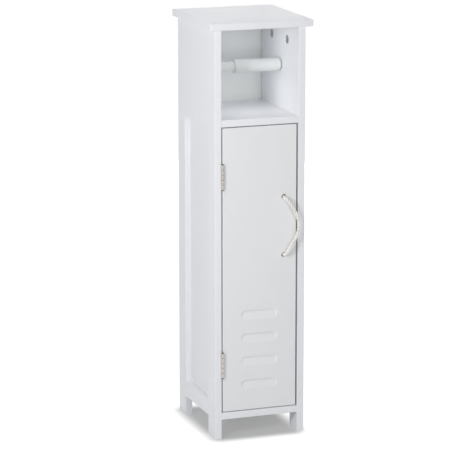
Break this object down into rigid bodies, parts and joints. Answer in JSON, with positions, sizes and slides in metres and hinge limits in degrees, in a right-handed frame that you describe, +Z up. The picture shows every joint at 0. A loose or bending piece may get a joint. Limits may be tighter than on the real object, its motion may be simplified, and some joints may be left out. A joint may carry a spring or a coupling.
{
  "type": "toilet roll storage cabinet",
  "caption": "Slim white free-standing cabinet: open bay with a sprung toilet roll holder above a tall cupboard with a hinged, louvred door and a rope pull.",
  "frame": {"origin": "on the floor, at the middle of the footprint of the top panel and legs", "axes": "+X to the right as one looks at the door, +Y to the back, +Z up; the door faces -Y"},
  "size_m": [0.18, 0.2035, 0.71],
  "materials": {
    "carcass_lacquer": "satin white lacquer over medium-density fibreboard",
    "door_lacquer": "satin white lacquer over medium-density fibreboard",
    "back_board": "white-faced hardboard",
    "beech": "bare beech, fluted",
    "zinc_diecast": "zinc die-casting",
    "nickel_steel": "nickel-plated pressed steel",
    "bare_steel": "bright steel",
    "dark_steel": "blackened steel",
    "ferrite": "sintered ferrite",
    "cotton_rope": "three-strand twisted natural cotton",
    "holder_plastic": "moulded white plastic, satin",
    "catch_plastic": "moulded white plastic"
  },
  "bodies": {
    "carcass": {"top_panel": "carcass_lacquer", "left_front_post": "carcass_lacquer", "left_rear_post": "carcass_lacquer", "left_upper_board": "carcass_lacquer", "left_lower_rail": "carcass_lacquer", "left_infill_panel": "carcass_lacquer", "right_front_post": "carcass_lacquer", "right_rear_post": "carcass_lacquer", "right_upper_board": "carcass_lacquer", "right_lower_rail": "carcass_lacquer", "right_infill_panel": "carcass_lacquer", "shelf_panel": "carcass_lacquer", "bottom_panel": "carcass_lacquer", "back_panel": "back_board", "back_panel_nails": "bare_steel", "top_cam_locks": "zinc_diecast", "shelf_cam_locks": "zinc_diecast", "bottom_cam_locks": "zinc_diecast", "top_cam_bolts": "zinc_diecast", "shelf_cam_bolts": "zinc_diecast", "bottom_cam_bolts": "zinc_diecast", "corner_dowels": "beech", "side_frame_dowels": "beech", "upper_hinge_frame_leaf": "nickel_steel", "upper_hinge_pin": "dark_steel", "lower_hinge_frame_leaf": "nickel_steel", "lower_hinge_pin": "dark_steel", "hinge_frame_screws": "nickel_steel", "catch_housing": "catch_plastic", "catch_magnet": "ferrite", "catch_poles": "bare_steel", "catch_screws": "nickel_steel"},
    "door": {"door_panel": "door_lacquer", "upper_hinge_door_leaf": "nickel_steel", "lower_hinge_door_leaf": "nickel_steel", "hinge_door_screws": "nickel_steel", "rope_handle": "cotton_rope", "upper_rope_knot": "cotton_rope", "lower_rope_knot": "cotton_rope", "strike_plate": "nickel_steel", "strike_screws": "nickel_steel"},
    "roller": {"roller_outer_tube": "holder_plastic", "roller_spring": "bare_steel"},
    "roller_plunger": {"roller_inner_tube": "holder_plastic"}
  },
  "joints": [
    {"name": "door_hinge", "type": "hinge", "parent": "carcass", "child": "door", "pos_m": [-0.067, -0.0928, 0.291], "axis": [0, 0, -1], "range_deg": [0, 180]},
    {"name": "roller_spin", "type": "hinge", "parent": "carcass", "child": "roller", "pos_m": [0, -0.005, 0.623], "axis": [1, 0, 0], "continuous": true},
    {"name": "plunger_slide", "type": "slide", "parent": "roller", "child": "roller_plunger", "axis": [1, 0, 0], "range_m": [0, 0.008], "stiffness_N_per_m": 300, "deforming": ["roller_spring"]}
  ]
}
